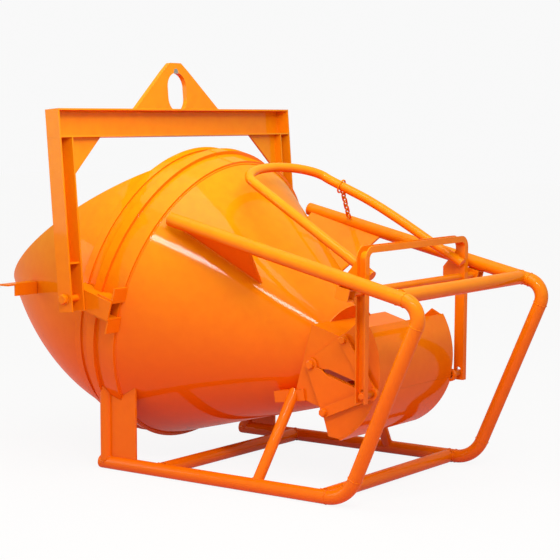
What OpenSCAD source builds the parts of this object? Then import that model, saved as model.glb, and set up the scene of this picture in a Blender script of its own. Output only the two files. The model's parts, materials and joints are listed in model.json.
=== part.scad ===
// Lay-down concrete bucket: a tilted round bucket in a tube frame, with a lifting
// yoke, a two-jaw discharge gate and the hand hoop that opens the gate.
// +X is the discharge end, +Y the left side, +Z up; the ground is Z = 0.

/* [Bucket] */
// Downward tilt of the bucket axis towards the discharge end, degrees
tilt = 16; // [15:0.5:17]
// Height of the belt centre above the ground
belt_z = 778; // [772:1:784]
// Distance of the belt centre behind the rear cross tube
belt_set = 240; // [234:1:246]
// Outer radius of the belt's plain wall
belt_r = 668; // [662:1:674]
// Thickness of the bucket plates
shell_t = 6; // [4:0.5:8]
// Length of the belt behind its centre
belt_back = 95; // [85:1:105]
// Length of the belt ahead of its centre
belt_front = 150; // [140:1:160]
// Width of the belt's rear flange
flange_w = 36; // [28:1:44]
// Height of the belt's rear flange
flange_h = 8; // [6:1:12]
// Width of the belt's main rib
rib_w = 44; // [36:1:50]
// Height of the belt's main rib
rib_h = 30; // [26:1:34]
// Height of the belt's front band
band_h = 14; // [10:1:18]
// Length of the rear shell
tail_l = 926; // [906:1:946]
// Radius that the rear shell would taper to
tail_r = 223; // [213:1:233]
// Angle of the fill mouth to the bucket axis, degrees
mouth_angle = 47.5; // [47:0.5:48]
// Distance of the mouth plane behind the belt centre, at the belt's wall
mouth_set = 14; // [10:1:18]
// Width of the mouth's edge band
rim_w = 42; // [34:1:50]
// Thickness of the mouth's edge band
rim_t = 10; // [8:0.5:12]
// Length of the front cone
cone_l = 740; // [730:1:750]
// Outer radius of the front cone at its outlet
cone_end_r = 243; // [237:1:249]

/* [Discharge gate] */
// Half width of the square outlet box
box_half_w = 290; // [284:1:296]
// Half height of the square outlet box
box_half_h = 165; // [160:1:170]
// Distance from the cone's outlet to the gate pivots
gate_set = 54; // [48:1:60]
// Height of the gate pivots above the bucket axis
gate_rise = 18; // [14:1:22]
// Inner radius of the jaws
gate_r = 340; // [336:1:344]
// Thickness of the jaw plates
jaw_t = 8; // [6:0.5:10]
// Angle from the meeting line to a jaw's free edge, degrees
jaw_angle = 48; // [46:0.5:50]
// Radius of the gate pivot pins
gate_pin_r = 14; // [12:0.5:16]
// Distance from a gate pivot to a jaw's link pin
link_pin_reach = 212; // [207:1:217]
// Angle from the meeting line to a jaw's link pin, degrees
link_pin_angle = 51; // [50:0.5:52]
// Radius of the link pins
link_pin_r = 10; // [8:0.5:12]
// Width of the gate links
link_w = 44; // [42:1:50]
// Thickness of the gate links
link_t = 8; // [6:0.5:10]
// Distance from the gate pivots to the knee pins along the axis
knee_reach = 337; // [333:1:341]
// Radius of the knee pins
knee_pin_r = 9; // [8:0.5:10]

/* [Frame] */
// Outer diameter of the frame tubes
tube_d = 60.3; // [56:0.1:64]
// Wall of the frame tubes
tube_wall = 4; // [3:0.5:5]
// Half spacing of the rails, centre to middle
rail_half = 525; // [519:1:531]
// Length of the bottom rails behind the rear cross tube
skid_back = 335; // [325:1:345]
// Distance from the rear cross tube to the front legs at rail height
leg_foot_x = 1007; // [1000:1:1014]
// Lean of the front legs from the vertical, degrees
leg_lean = 23.8; // [23:0.2:24.6]
// Radius of the bottom bends
foot_bend_r = 150; // [145:1:155]
// Radius of the top elbows
elbow_r = 76; // [74:1:80]
// Height of the top rails above the rear cross tube
top_rail_z = 1167; // [1163:1:1171]
// Downward slope of the top rails, degrees
top_rail_slope = 13; // [12.8:0.1:13.2]
// Distance from the rear cross tube to the rear ends of the top rails
top_rail_start = 78; // [74:1:84]
// Distance from the rear cross tube to the top bar
top_bar_x = 1240; // [1234:1:1246]
// Distance from the rear cross tube to the front bar
front_bar_x = 880; // [870:1:890]
// Distance from the rear posts to the rear cross tube
post_x = 305; // [300:1:310]
// Distance from the front edges of the saddle plates to the rear cross tube
saddle_front = 130; // [124:1:136]
// Thickness of the saddle and gusset plates
plate_t = 10; // [8:0.5:12]
// Diameter of the struts under the outlet
strut_d = 48; // [44:1:50]

/* [Yoke] */
// Room between the belt's main rib and the yoke's legs
yoke_room = 64; // [60:1:70]
// Width of the yoke channels
chan_w = 82; // [78:1:84]
// Depth of the yoke channels
chan_d = 78; // [74:1:80]
// Plate thickness of the yoke channels
chan_t = 8; // [6:0.5:10]
// Height of the yoke beam
beam_h = 126; // [120:1:132]
// Room between the belt's main rib and the yoke beam
beam_room = 23; // [21:1:28]
// Lean of the yoke to the rear at rest, degrees
yoke_lean = 4.5; // [4:0.1:5]
// Radius of the yoke pivot pins
yoke_pin_r = 15; // [13:0.5:17]
// Height of the lifting lug
lug_h = 218; // [208:1:228]
// Half width of the lifting lug at its foot
lug_foot_half = 305; // [295:1:315]
// Thickness of the lifting lug
lug_t = 24; // [20:1:30]
// Half width of the lifting slot
slot_half = 68; // [60:1:74]
// Height of the lifting slot above the beam
slot_h = 172; // [166:1:178]

/* [Hand lever] */
// Distance from the rear cross tube to the lever's fulcrum
fulcrum_x = 1000; // [996:1:1004]
// Radius of the fulcrum shaft
shaft_r = 16; // [14:0.5:18]
// Room between the gate's links and the lever's legs
bail_room = 60; // [54:1:66]
// Width of the lever's channel
bail_w = 48; // [46:1:52]
// Depth of the lever's channel
bail_d = 28; // [26:1:30]
// Plate thickness of the lever's channel
bail_t = 5; // [4:0.5:6]
// Height of the lever's crossbar above the fulcrum
bail_top = 186; // [180:1:192]
// Outer diameter of the hand hoop
hoop_d = 42; // [38:1:46]
// Half width of the hoop where its bow starts
hoop_half = 285; // [280:1:290]
// Reach of the hoop's bow
hoop_bow = 94; // [88:1:100]
// Wire diameter of the chain
wire_d = 8; // [7:0.5:9]
// Pitch of the chain
chain_pitch = 34; // [33:0.5:35]

/* [Hidden] */
$fn = 72;
// Facets of the bodies that trim their neighbours
fine_fn = 360;
// Gap left at welds and seats
weld = 0.3;
// Radial running clearance of pins in their holes
fit = 0.06;
// Gap between faces that turn past each other
pass = 2;
// Overrun of cuts
over = 40;
// Reach of the half space above the mouth
beyond = 3000;
// Distance from the rear cross tube to the middle of the object's length
mid_set = 82.4;

tube_r = tube_d / 2;
skid_z = tube_r;
belt_x = -belt_set;
rib_r = belt_r + rib_h;
yoke_half = rib_r + yoke_room + chan_w;
gate_s = belt_front + cone_l + gate_set;

// Place of a point on the bucket axis: s along it, q square to it, in X and Z
function on_axis(s, q) = [
  belt_x + s * cos(tilt) + q * sin(tilt),
  belt_z - s * sin(tilt) + q * cos(tilt)
];
function cone_rad(s) = belt_r - (s - belt_front) * (belt_r - cone_end_r) / cone_l;
function rail_z(x) = top_rail_z - x * tan(top_rail_slope);

module placed() { translate([-mid_set, 0, 0]) children(); }
module leaning() { placed() translate([belt_x, 0, belt_z]) rotate([0, tilt, 0]) children(); }
module spun(outline) { rotate([0, 90, 0]) rotate_extrude() polygon(outline); }
module both_sides() {
  children();
  mirror([0, 1, 0]) children();
}
// A rod along +Y from y0 to y1
module cross_rod(r, y0, y1) { translate([0, y1, 0]) rotate([90, 0, 0]) cylinder(r = r, h = y1 - y0); }
// A bar of steel centred on X and Z from y0 to y1
module cross_bar(x, z, y0, y1) { translate([-x / 2, y0, -z / 2]) cube([x, y1 - y0, z]); }
// A round tube along +X from x0 to x1
module long_tube(r, wall, x0, x1) {
  translate([x0, 0, 0]) rotate([0, 90, 0]) difference() {
    cylinder(r = r, h = x1 - x0);
    translate([0, 0, -over]) cylinder(r = r - wall, h = x1 - x0 + 2 * over);
  }
}
module side_tube(y0, y1) {
  translate([0, y1, 0]) rotate([90, 0, 0]) difference() {
    cylinder(r = tube_r, h = y1 - y0);
    translate([0, 0, -over]) cylinder(r = tube_r - tube_wall, h = y1 - y0 + 2 * over);
  }
}
module up_tube(r, wall, h) {
  difference() {
    cylinder(r = r, h = h);
    translate([0, 0, -over]) cylinder(r = r - wall, h = h + 2 * over);
  }
}

// Belt, shells and cone: each wall is an outline of radius and place along the axis

belt_bore = belt_r - shell_t;
rib_from = 0;
belt_outline = [
  [belt_bore, -belt_back],
  [belt_r + flange_h, -belt_back],
  [belt_r + flange_h, flange_w - belt_back],
  [belt_r, flange_w - belt_back],
  [belt_r, rib_from],
  [rib_r, rib_from],
  [rib_r, rib_from + rib_w],
  [belt_r + band_h, rib_from + rib_w],
  [belt_r + band_h, belt_front],
  [belt_bore, belt_front]
];
// The belt and cone as one solid body, grown by a gap, to trim what is welded to them
function trim_outline(g) = [
  [0, -belt_back - g],
  [belt_r + flange_h + g, -belt_back - g],
  [belt_r + flange_h + g, flange_w - belt_back + g],
  [belt_r + g, flange_w - belt_back + g],
  [belt_r + g, rib_from - g],
  [rib_r + g, rib_from - g],
  [rib_r + g, rib_from + rib_w + g],
  [belt_r + band_h + g, rib_from + rib_w + g],
  [belt_r + band_h + g, belt_front + g],
  [belt_r + g, belt_front + g],
  [cone_end_r + g, belt_front + cone_l],
  [0, belt_front + cone_l]
];
module trim_body() { leaning() spun(trim_outline(2 * weld), $fn = fine_fn); }

module belt() { color("orangered") leaning() spun(belt_outline); }

// The rear shell curves in towards the tail by a power of its length
tail_pow = 1.82;
tail_steps = 9;
function tail_s(i) = -belt_back - weld - tail_l * i / tail_steps;
function tail_rad(i) = tail_r + (belt_r - tail_r) * (1 - pow(i / tail_steps, tail_pow));
function tail_wall(inner, outer) = concat(
  [for (i = [0:tail_steps]) [tail_rad(i) + outer, tail_s(i)]],
  [for (i = [tail_steps:-1:0]) [tail_rad(i) + inner, tail_s(i)]]
);
// The plane of the mouth: children stand on it, +Z out of the mouth
module at_mouth() { translate([-mouth_set, 0, belt_r]) rotate([0, -mouth_angle, 0]) children(); }
module above_mouth(z) { at_mouth() translate([-beyond, -beyond, z]) cube([2 * beyond, 2 * beyond, beyond]); }

module rear_shell() {
  color("orangered") leaning() difference() {
    spun(tail_wall(-shell_t, 0));
    above_mouth(0);
  }
}
module mouth_rim() {
  color("orangered") leaning() difference() {
    spun(tail_wall(-shell_t - weld - rim_t, -shell_t - weld), $fn = fine_fn);
    above_mouth(0);
    at_mouth() translate([-beyond, -beyond, -rim_w - beyond]) cube([2 * beyond, 2 * beyond, beyond]);
  }
}
module front_cone() {
  color("orangered") leaning() spun([
    [belt_r, belt_front + weld],
    [cone_end_r, belt_front + cone_l],
    [cone_end_r - shell_t, belt_front + cone_l],
    [belt_r - shell_t, belt_front + weld]
  ]);
}

// Outlet box, cut round to let the jaws pass

module at_gate() { leaning() translate([gate_s, 0, gate_rise]) children(); }
box_from = weld - gate_set;
// The slit between the jaws' side plates runs from a point to the jaws' front
slit_from = 58;
slit_taper = 30;
slit_half = 12;
module box_block(wall, from, to) {
  translate([from, wall - box_half_w, wall - box_half_h])
    cube([to - from, 2 * (box_half_w - wall), 2 * (box_half_h - wall)]);
}
module end_disc(r, from, to) {
  translate([from, 0, -gate_rise]) rotate([0, 90, 0]) cylinder(r = r, h = to - from);
}
// A back plate joins the box to the cone's round end
module outlet_box() {
  color("orangered") at_gate() difference() {
    union() {
      intersection() {
        box_block(0, box_from, gate_r);
        cross_rod(gate_r - pass, -box_half_w - over, box_half_w + over, $fn = fine_fn);
      }
      end_disc(cone_end_r, box_from, box_from + jaw_t);
    }
    box_block(jaw_t, box_from + jaw_t, gate_r + over);
    intersection() {
      box_block(jaw_t, box_from - over, box_from + over);
      end_disc(cone_end_r - shell_t, box_from - over, box_from + over);
    }
    translate([slit_from, -box_half_w - over, -slit_half])
      cube([gate_r, 2 * (box_half_w + over), 2 * slit_half]);
  }
}

upper_side_y = box_half_w + pass;
lower_side_y = upper_side_y + jaw_t + pass;
link_y = lower_side_y + jaw_t + pass;
knee_link_y = link_y + link_t + pass;
bail_half = knee_link_y + link_t + bail_room;
pin_cap_t = 10;
pin_cap_lip = 7;
pin_cap_r = gate_pin_r + pin_cap_lip;
module gate_pins() {
  color("orangered") at_gate() both_sides() {
    cross_rod(gate_pin_r, box_half_w + weld, lower_side_y + jaw_t + pass);
    cross_rod(pin_cap_r, lower_side_y + jaw_t + pass, lower_side_y + jaw_t + pass + pin_cap_t);
  }
}

// A jaw's side plate: a sector from the pivot to the jaw's plate, with a hub and a link ear
jaw_meet = weld / gate_r * 180 / PI;
shoulder_r = 315;
shoulder_angle = 56.5;
hub_lip = 18;
hub_r = gate_pin_r + hub_lip;
ear_lip = 16;
ear_r = link_pin_r + ear_lip;
module jaw_side(y) {
  difference() {
    union() {
      intersection() {
        cross_rod(gate_r - weld, y, y + jaw_t);
        translate([0, y + jaw_t + over, 0]) rotate([90, 0, 0]) linear_extrude(jaw_t + 2 * over)
          polygon([
            [0, 0],
            [slit_from, 0],
            [slit_from + slit_taper, slit_half],
            [2 * gate_r, slit_half],
            [2 * gate_r * cos(jaw_angle / 2), 2 * gate_r * sin(jaw_angle / 2)],
            [gate_r * cos(jaw_angle), gate_r * sin(jaw_angle)],
            [shoulder_r * cos(shoulder_angle), shoulder_r * sin(shoulder_angle)]
          ]);
      }
      cross_rod(hub_r, y, y + jaw_t);
      rotate([0, -link_pin_angle, 0]) {
        translate([link_pin_reach, 0, 0]) cross_rod(ear_r, y, y + jaw_t);
        translate([0, y, -ear_r]) cube([link_pin_reach, jaw_t, 2 * ear_r]);
      }
    }
    cross_rod(gate_pin_r + fit, y - over, y + jaw_t + over);
  }
}
module jaw_shell(half) {
  rotate([90, 0, 0]) rotate([0, 0, jaw_meet]) rotate_extrude(angle = jaw_angle - jaw_meet)
    translate([gate_r, -half]) square([jaw_t, 2 * half]);
}
module link_pin(y0, y1) {
  rotate([0, -link_pin_angle, 0]) translate([link_pin_reach, 0, 0]) {
    cross_rod(link_pin_r, y0, y1 + link_t + pass);
    cross_rod(link_pin_r + link_t, y1 + link_t + pass, y1 + 2 * link_t + pass);
  }
}
module upper_jaw_shell() { color("orangered") at_gate() jaw_shell(upper_side_y + jaw_t); }
module upper_jaw_sides() { color("orangered") at_gate() both_sides() jaw_side(upper_side_y); }
module upper_link_pins() {
  color("orangered") at_gate() both_sides() link_pin(upper_side_y + jaw_t, link_y);
}
module under_gate() { at_gate() mirror([0, 0, 1]) children(); }
module lower_jaw_shell() { color("orangered") under_gate() jaw_shell(lower_side_y + jaw_t); }
module lower_jaw_sides() { color("orangered") under_gate() both_sides() jaw_side(lower_side_y); }
module lower_link_pins() {
  color("orangered") under_gate() both_sides() link_pin(lower_side_y + jaw_t, knee_link_y);
}

// Links from a jaw's ear to the knee pin: the eye at the knee is wide, to clear the pin's path
knee_play = 7;
knee_eye_r = knee_pin_r + knee_play;
knee_lip = 12;
knee_end_r = knee_eye_r + knee_lip;
link_dx = knee_reach - link_pin_reach * cos(link_pin_angle);
link_dz = link_pin_reach * sin(link_pin_angle);
link_l = sqrt(link_dx * link_dx + link_dz * link_dz);
link_turn = atan2(link_dz, link_dx);
module gate_link(y) {
  translate([link_pin_reach * cos(link_pin_angle), 0, link_dz]) rotate([0, link_turn, 0]) difference() {
    union() {
      cross_rod(link_w / 2, y, y + link_t);
      translate([link_l, 0, 0]) cross_rod(knee_end_r, y, y + link_t);
      translate([0, y, -link_w / 2]) cube([link_l, link_t, link_w]);
    }
    cross_rod(link_pin_r + fit, y - over, y + link_t + over);
    translate([link_l, 0, 0]) cross_rod(knee_eye_r, y - over, y + link_t + over);
  }
}
module upper_links() { color("orangered") at_gate() both_sides() gate_link(link_y); }
module lower_links() { color("orangered") under_gate() both_sides() gate_link(knee_link_y); }

// Frame: bottom rails that bend up into the front legs, and top rails that meet them

module at_rail() { placed() translate([0, rail_half, skid_z]) children(); }
foot_turn = 90 - leg_lean;
foot_cut = foot_bend_r * tan(foot_turn / 2);
skid_end = leg_foot_x - foot_cut;
function leg_x(z) = leg_foot_x + (z - skid_z) * tan(leg_lean);
corner_z = (top_rail_z - tan(top_rail_slope) * (leg_foot_x - skid_z * tan(leg_lean)))
  / (1 + tan(top_rail_slope) * tan(leg_lean));
corner_x = leg_x(corner_z);
elbow_turn = 90 + leg_lean - top_rail_slope;
elbow_cut = elbow_r * tan(elbow_turn / 2);
leg_l = (corner_z - skid_z) / cos(leg_lean) - foot_cut - elbow_cut;
rail_end = corner_x / cos(top_rail_slope) - elbow_cut;
rail_start = top_rail_start / cos(top_rail_slope);

// A quarter of ring tube that starts along +X at the origin and turns up towards +Z
module bend(radius, turn) {
  translate([0, 0, radius]) rotate([90, 0, 0]) rotate([0, 0, -90]) rotate_extrude(angle = turn)
    translate([radius, 0]) difference() {
      circle(r = tube_r);
      circle(r = tube_r - tube_wall);
    }
}
module skid() { at_rail() long_tube(tube_r, tube_wall, -skid_back, skid_end); }
module foot_bend() { at_rail() translate([skid_end + weld, 0, 0]) bend(foot_bend_r, foot_turn); }
module at_leg() { at_rail() translate([leg_foot_x, 0, 0]) rotate([0, leg_lean, 0]) children(); }
module leg() { at_leg() translate([0, 0, foot_cut + weld]) up_tube(tube_r, tube_wall, leg_l - 2 * weld); }
module at_top_rail() {
  placed() translate([0, rail_half, top_rail_z]) rotate([0, top_rail_slope, 0]) children();
}
module top_elbow() {
  at_leg() translate([0, 0, foot_cut + leg_l]) rotate([0, -90, 0]) bend(elbow_r, elbow_turn);
}
module top_rail() {
  difference() {
    at_top_rail() long_tube(tube_r, tube_wall, rail_start, rail_end - weld);
    trim_body();
  }
}
module skid_left() { color("orangered") skid(); }
module skid_right() { color("orangered") mirror([0, 1, 0]) skid(); }
module foot_bend_left() { color("orangered") foot_bend(); }
module foot_bend_right() { color("orangered") mirror([0, 1, 0]) foot_bend(); }
module leg_left() { color("orangered") leg(); }
module leg_right() { color("orangered") mirror([0, 1, 0]) leg(); }
module top_elbow_left() { color("orangered") top_elbow(); }
module top_elbow_right() { color("orangered") mirror([0, 1, 0]) top_elbow(); }
module top_rail_left() { color("orangered") top_rail(); }
module top_rail_right() { color("orangered") mirror([0, 1, 0]) top_rail(); }

bar_half = rail_half - tube_r - weld;
module cross_tube(x, z) { placed() translate([x, 0, z]) side_tube(-bar_half, bar_half); }
module rear_cross() { color("orangered") cross_tube(0, skid_z); }
module front_bar() { color("orangered") cross_tube(front_bar_x, skid_z); }
module top_bar() { color("orangered") cross_tube(top_bar_x, rail_z(top_bar_x)); }

// Posts and saddle plates carry the belt on the bottom rails
post_h = belt_z;
module rail_trim() {
  at_rail() rotate([0, 90, 0]) cylinder(r = tube_r + weld, h = 2 * beyond, center = true);
}
// A round body along the bucket axis that cuts a plate or post to it
module axis_trim(r) {
  leaning() rotate([0, 90, 0]) cylinder(r = r, h = beyond, center = true, $fn = fine_fn);
}
module post() {
  difference() {
    at_rail() translate([-post_x, 0, 0]) up_tube(tube_r, tube_wall, post_h - skid_z);
    rail_trim();
    trim_body();
    axis_trim(belt_r);
  }
}
saddle_w = post_x - tube_r - weld - saddle_front;
module saddle() {
  difference() {
    at_rail() translate([-saddle_front - saddle_w, -plate_t / 2, 0])
      cube([saddle_w, plate_t, belt_z - skid_z]);
    rail_trim();
    trim_body();
    axis_trim(cone_rad(belt_front + saddle_w));
  }
}
module post_left() { color("orangered") post(); }
module post_right() { color("orangered") mirror([0, 1, 0]) post(); }
module saddle_left() { color("orangered") saddle(); }
module saddle_right() { color("orangered") mirror([0, 1, 0]) saddle(); }

// Struts from the bottom rails to pads on the outlet box
strut_x = 540;
pad_back = 74;
pad_drop = 157;
pad_pitch = 24.5;
pad_l = 160;
pad_h = 50;
strut_ahead = 18;
pad_s = gate_s - pad_back;
pad_y = box_half_w + weld;
pad_in = pad_y - pad_l;
strut_seat = on_axis(pad_s + strut_ahead, -pad_drop);
strut_top = [strut_seat[0], pad_y + plate_t, strut_seat[1]];
strut_run = [strut_top[0] - strut_x, strut_top[1] - rail_half, strut_top[2] - skid_z];
strut_l = norm(strut_run);
module strut() {
  difference() {
    placed() translate([strut_x, rail_half, skid_z])
      rotate([0, acos(strut_run[2] / strut_l), atan2(strut_run[1], strut_run[0])])
      up_tube(strut_d / 2, tube_wall, strut_l + strut_d);
    rail_trim();
    leaning() translate([-beyond, -beyond, -beyond])
      cube([2 * beyond, beyond + pad_y + plate_t + weld, 2 * beyond]);
  }
}
module strut_left() { color("orangered") strut(); }
module strut_right() { color("orangered") mirror([0, 1, 0]) strut(); }
module strut_pads() {
  color("orangered") both_sides() difference() {
    leaning() translate([pad_s, 0, -pad_drop]) rotate([0, -pad_pitch, 0]) {
      cross_bar(pad_l, pad_h, pad_y, pad_y + plate_t);
      translate([0, 0, (pad_h - plate_t) / 2]) cross_bar(pad_l, plate_t, pad_in, pad_y + plate_t);
    }
    trim_body();
    at_gate() box_block(-2 * weld, box_from - 2 * weld, gate_r);
  }
}

// Gusset plates between the top rails and the cone, square to the bucket axis
gusset_turn = 48.8;
gusset_from = 240;
gusset_to = 640;
gusset_rake = 45;
gusset_q = (rail_z(gusset_from + belt_x) - belt_z) * cos(tilt) + gusset_from * sin(tilt);
gusset_rad = norm([rail_half, gusset_q]);
module top_rail_trim() {
  at_top_rail() rotate([0, 90, 0]) cylinder(r = tube_r + weld, h = 2 * beyond, center = true);
}
module gusset() {
  difference() {
    leaning() rotate([-gusset_turn, 0, 0]) translate([0, plate_t / 2, 0]) rotate([90, 0, 0])
      linear_extrude(plate_t) polygon([
        [gusset_from, cone_rad(gusset_to)],
        [gusset_to - gusset_rake, cone_rad(gusset_to)],
        [gusset_to, gusset_rad],
        [gusset_from, gusset_rad]
      ]);
    top_rail_trim();
    trim_body();
  }
}
module gusset_left() { color("orangered") gusset(); }
module gusset_right() { color("orangered") mirror([0, 1, 0]) gusset(); }

// Arms that carry the yoke, channels welded on the belt with their open side inwards
pivot_back = 22;
pivot_q = 22;
pivot_s = -pivot_back;
beam_z = rib_r - pivot_q + beam_room;
pivot = on_axis(pivot_s, pivot_q);
yoke_in = yoke_half - chan_w;
arm_out = yoke_in - pass - pass;
arm_h = 88;
arm_back = 54;
arm_front = 186;
arm_depth = arm_out - belt_r;
arm_pin_seat = 6;
module arm() {
  difference() {
    leaning() translate([pivot_s - arm_back, 0, pivot_q]) difference() {
      translate([0, arm_out - arm_depth, -arm_h / 2]) cube([arm_back + arm_front, arm_depth, arm_h]);
      translate([-over, arm_out - arm_depth - chan_t, -arm_h / 2 + chan_t])
        cube([arm_back + arm_front + 2 * over, arm_depth, arm_h - 2 * chan_t]);
    }
    trim_body();
  }
}
module arm_left() { color("orangered") arm(); }
module arm_right() { color("orangered") mirror([0, 1, 0]) arm(); }
tie_l = 90;
tie_h = 60;
// Angle ties lie above and below each arm, with a foot along it and a web across
module arm_tie() {
  translate([pivot_s + arm_front - tie_l, arm_out - arm_depth, arm_h / 2 + weld]) difference() {
    cube([tie_l, arm_depth - chan_t, tie_h]);
    translate([-over, -over, chan_t]) cube([tie_l - chan_t + over, arm_depth + 2 * over, tie_h]);
  }
}
module arm_ties() {
  color("orangered") both_sides() difference() {
    leaning() translate([0, 0, pivot_q]) {
      arm_tie();
      mirror([0, 0, 1]) arm_tie();
    }
    trim_body();
  }
}
module at_pivot() { placed() translate([pivot[0], 0, pivot[1]]) children(); }
pin_head_t = 20;
pin_head_lip = 9;
module yoke_pins() {
  color("orangered") at_pivot() both_sides() {
    cross_rod(yoke_pin_r, arm_out + weld, yoke_half + pass);
    cross_rod(yoke_pin_r + pin_head_lip, yoke_half + pass, yoke_half + pass + pin_head_t);
  }
}
// Stops that the yoke's legs come down on when it is laid back
stop_x = 690;
stop_top = 840;
stop_leg = 56;
stop_reach = 24;
stop_web_in = 50;
stop_out = yoke_in + stop_reach;
module tail_trim() {
  leaning() spun(concat(
    [for (i = [0:tail_steps]) [tail_rad(i) + 2 * weld, tail_s(i)]],
    [[0, tail_s(tail_steps)], [0, tail_s(0)]]
  ));
}
stop_in = belt_r / 2;
module yoke_stops() {
  color("orangered") both_sides() difference() {
    placed() translate([-stop_x, stop_in, stop_top]) {
      translate([-stop_leg / 2, 0, -chan_t]) cube([stop_leg, stop_out - stop_in, chan_t]);
      translate([stop_leg / 2 - chan_t, 0, -stop_leg])
        cube([chan_t, stop_out - stop_in - stop_web_in, stop_leg]);
    }
    tail_trim();
  }
}

// Yoke: channels with their open side to the front, turned about the pivots
module at_yoke() { at_pivot() rotate([0, -yoke_lean, 0]) children(); }
leg_below = 58;
module yoke_leg() {
  at_yoke() difference() {
    translate([-chan_d / 2, yoke_in, -leg_below]) cube([chan_d, chan_w, beam_z + leg_below]);
    translate([-chan_d / 2 + chan_t, yoke_in + chan_t, -leg_below - over])
      cube([chan_d, chan_w - 2 * chan_t, beam_z + leg_below + 2 * over]);
    cross_rod(yoke_pin_r + fit, yoke_in - over, yoke_half + over);
  }
}
module yoke_leg_left() { color("orangered") yoke_leg(); }
module yoke_leg_right() { color("orangered") mirror([0, 1, 0]) yoke_leg(); }
module yoke_beam() {
  color("orangered") at_yoke() difference() {
    translate([-chan_d / 2, -yoke_half, beam_z]) cube([chan_d, 2 * yoke_half, beam_h]);
    translate([-chan_d / 2 + chan_t, -yoke_half + chan_t, beam_z + chan_t])
      cube([chan_d, 2 * (yoke_half - chan_t), beam_h - 2 * chan_t]);
  }
}
brace_w = 212;
brace_h = 190;
module yoke_braces() {
  color("orangered") at_yoke() both_sides() translate([-plate_t / 2, yoke_in, beam_z])
    rotate([90, 0, 90]) linear_extrude(plate_t) polygon([[0, 0], [-brace_w, 0], [0, -brace_h]]);
}
stay_z = 150;
module yoke_stays() {
  color("orangered") at_yoke() both_sides() translate([-chan_d / 2 + chan_t, yoke_in + chan_t, stay_z])
    cube([chan_d - 2 * chan_t, chan_w - 2 * chan_t, chan_t]);
}
lug_top_half = 92;
lug_nose = 40;
// Depth of the slot's round bottom under the lug's foot
slot_sink = 13;
module lifting_lug() {
  color("orangered") at_yoke() translate([lug_t / 2, 0, beam_z + beam_h]) rotate([90, 0, -90]) difference() {
    linear_extrude(lug_t) polygon([
      [-lug_foot_half, 0],
      [lug_foot_half, 0],
      [lug_top_half, lug_h - lug_nose],
      [lug_nose, lug_h],
      [-lug_nose, lug_h],
      [-lug_top_half, lug_h - lug_nose]
    ]);
    translate([-slot_half, slot_half - slot_sink, -over])
      cube([2 * slot_half, slot_h - 2 * slot_half + slot_sink, lug_t + 2 * over]);
    for (up = [slot_half - slot_sink, slot_h - slot_half])
      translate([0, up, -over]) cylinder(r = slot_half, h = lug_t + 2 * over);
  }
}

// Sockets under the top rails carry the fulcrum shaft of the hand lever
socket_w = 50;
socket_l = 64;
socket_ahead = 28;
socket_wall = 5;
socket_drop = tube_r + weld + socket_w / 2;
socket_u = (fulcrum_x + socket_drop * sin(top_rail_slope)) / cos(top_rail_slope);
fulcrum = [fulcrum_x, top_rail_z - socket_u * sin(top_rail_slope) - socket_drop * cos(top_rail_slope)];
module socket() {
  at_top_rail() translate([socket_u, 0, -socket_drop]) difference() {
    translate([socket_ahead - socket_l, -socket_w / 2, -socket_w / 2]) cube([socket_l, socket_w, socket_w]);
    translate([socket_ahead - socket_l - over, -socket_w / 2 + socket_wall, -socket_w / 2 + socket_wall])
      cube([socket_l + 2 * over, socket_w - 2 * socket_wall, socket_w - 2 * socket_wall]);
  }
}
module socket_left() { color("orangered") socket(); }
module socket_right() { color("orangered") mirror([0, 1, 0]) socket(); }
shaft_half = rail_half - socket_w / 2 - weld;
module fulcrum_shaft() {
  color("orangered") placed() translate([fulcrum[0], 0, fulcrum[1]])
    cross_rod(shaft_r, -shaft_half, shaft_half);
}

// Hand lever: an upturned U of channel, open side outwards, hung on the fulcrum shaft
knee = on_axis(gate_s + knee_reach, gate_rise);
knee_l = norm(knee - fulcrum);
bail_lean = atan2(knee[0] - fulcrum[0], fulcrum[1] - knee[1]);
bail_tail = 30;
bail_corner = 26;
knee_slot = 18;
knee_slot_play = 1.6;
module at_bail() { placed() translate([fulcrum[0], 0, fulcrum[1]]) rotate([0, -bail_lean, 0]) children(); }
// Channel section: distance out from the web's inner face, then along X
function bail_section(c) = [
  [c, -bail_w / 2],
  [c + bail_d, -bail_w / 2],
  [c + bail_d, bail_t - bail_w / 2],
  [c + bail_t, bail_t - bail_w / 2],
  [c + bail_t, bail_w / 2 - bail_t],
  [c + bail_d, bail_w / 2 - bail_t],
  [c + bail_d, bail_w / 2],
  [c, bail_w / 2]
];
bail_bar_z = bail_top - bail_d;
bail_turn_y = bail_half - bail_corner;
bail_turn_z = bail_bar_z - bail_corner;
module lever_bail() {
  color("orangered") at_bail() difference() {
    union() {
      both_sides() {
        translate([0, 0, -knee_l - bail_tail]) linear_extrude(knee_l + bail_tail + bail_turn_z)
          polygon([for (p = bail_section(bail_half)) [p[1], p[0]]]);
        translate([0, bail_turn_y, bail_turn_z]) rotate([90, 0, 90]) rotate_extrude(angle = 90)
          polygon(bail_section(bail_corner));
      }
      translate([0, bail_turn_y, 0]) rotate([90, 0, 0]) linear_extrude(2 * bail_turn_y)
        polygon([for (p = bail_section(bail_bar_z)) [p[1], p[0]]]);
    }
    cross_rod(shaft_r + fit, -bail_half - bail_d, bail_half + bail_d);
    both_sides() {
      for (up = [0, knee_slot]) translate([0, 0, up - knee_l])
        cross_rod(knee_pin_r + knee_slot_play, bail_half - over, bail_half + bail_d);
      translate([-knee_pin_r - knee_slot_play, bail_half - over, -knee_l])
        cube([2 * (knee_pin_r + knee_slot_play), over + bail_d, knee_slot]);
    }
  }
}
stay_top = 128;
stay_out = 74;
stay_foot = 62;
stay_nose = 40;
stay_t = 6;
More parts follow.
